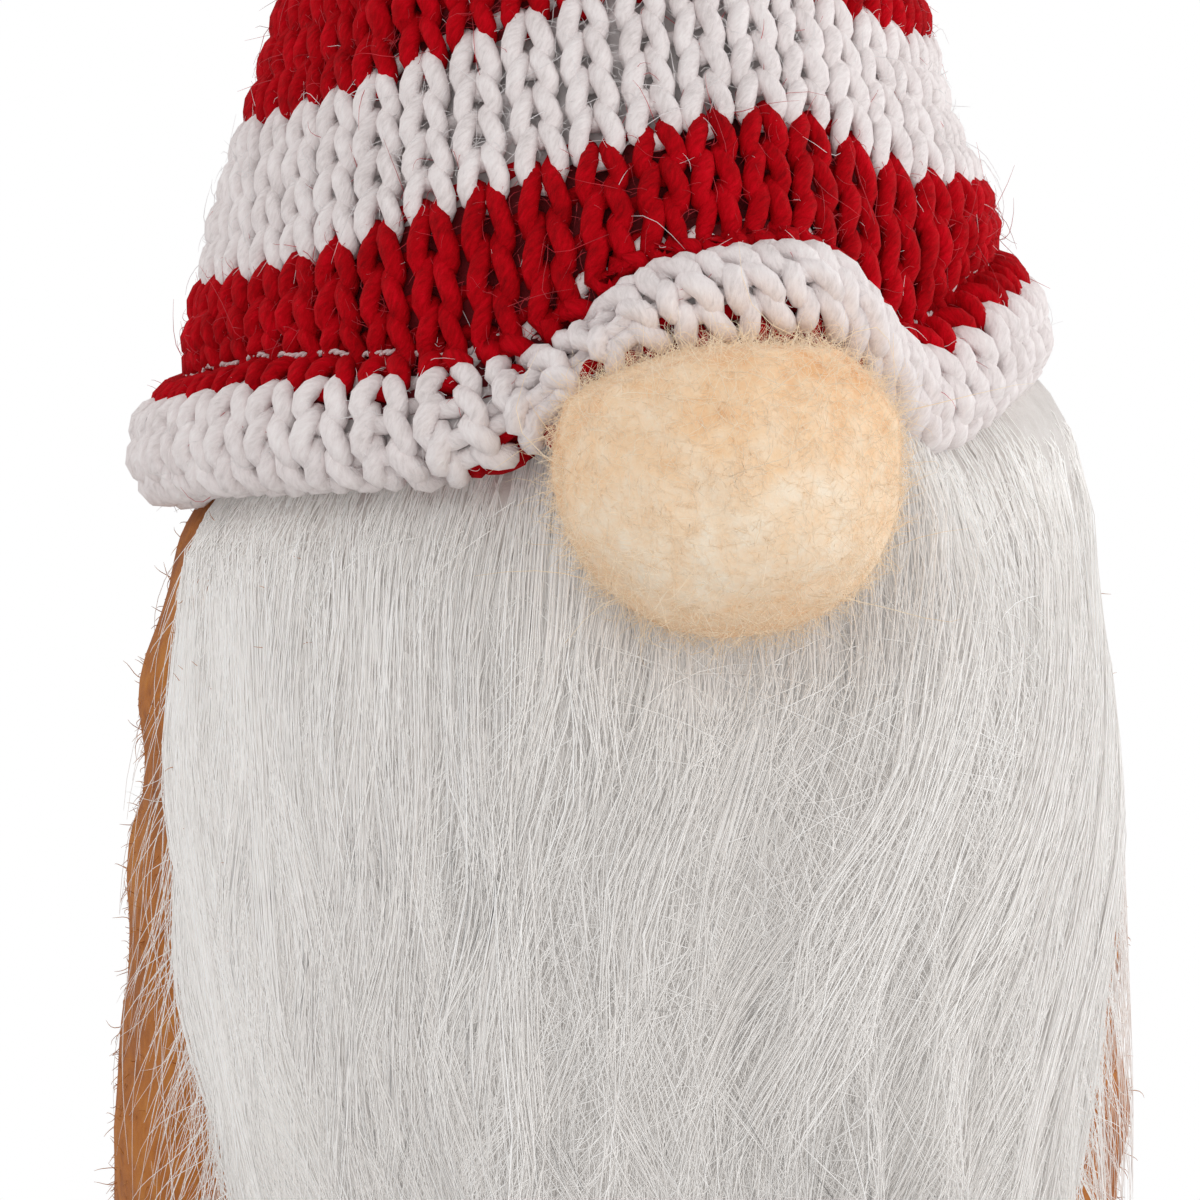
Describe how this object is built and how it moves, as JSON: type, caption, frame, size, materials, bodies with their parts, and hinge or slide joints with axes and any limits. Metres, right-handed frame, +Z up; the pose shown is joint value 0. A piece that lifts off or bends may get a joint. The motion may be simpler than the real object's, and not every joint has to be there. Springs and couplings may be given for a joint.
{
  "type": "tomte gnome figurine",
  "caption": "Standing gnome figure with a tall striped knitted hat, a round felt nose, a long beard and a weighted cloth body; the hat's wired tip bends.",
  "frame": {"origin": "middle of the flat base, on the table", "axes": "+Z up, the figure faces -Y, +X is to the right of someone who looks at its face"},
  "size_m": [0.05, 0.0612, 0.1375],
  "materials": {
    "ochre_fleece": "brushed cloth",
    "board": "grey board",
    "ochre_thread": "spun thread",
    "cotton": "plain weave",
    "sand": "fine sand",
    "stuffing": "fibre fill",
    "beard_backing": "knitted backing",
    "beard_fibre": "long soft fibre",
    "glue": "hot-melt glue",
    "felt": "felted",
    "felt_thread": "spun thread",
    "white_knit": "stockinette",
    "striped_knit": "stockinette, red and white stripes",
    "hem_thread": "twisted sewing thread",
    "wire": "soft wire"
  },
  "bodies": {
    "figure": {"body_cover": "ochre_fleece", "base_panel": "ochre_fleece", "base_board": "board", "base_seam_thread": "ochre_thread", "body_seam_thread": "ochre_thread", "weight_pouch": "cotton", "weight_fill": "sand", "body_stuffing": "stuffing", "neck_tie_thread": "ochre_thread", "beard_backing": "beard_backing", "beard_pile": "beard_fibre", "beard_glue": "glue", "nose_cover": "felt", "nose_stuffing": "stuffing", "nose_tie_thread": "felt_thread", "nose_glue": "glue", "hat_brim_roll": "white_knit", "hat_knit_lower": "striped_knit", "hat_hem_thread": "hem_thread", "hat_seam_lower": "hem_thread", "hat_stuffing_lower": "stuffing", "hat_wire_lower": "wire", "hat_glue": "glue"},
    "hat_top": {"hat_knit_upper": "striped_knit", "hat_seam_upper": "hem_thread", "hat_tip_thread": "hem_thread", "hat_stuffing_upper": "stuffing", "hat_wire_upper": "wire"}
  },
  "joints": [
    {"name": "hat_bend", "type": "hinge", "parent": "figure", "child": "hat_top", "pos_m": [-0.0016, 0.0003, 0.11], "axis": [0, 1, 0], "range_deg": [-35, 35]}
  ]
}
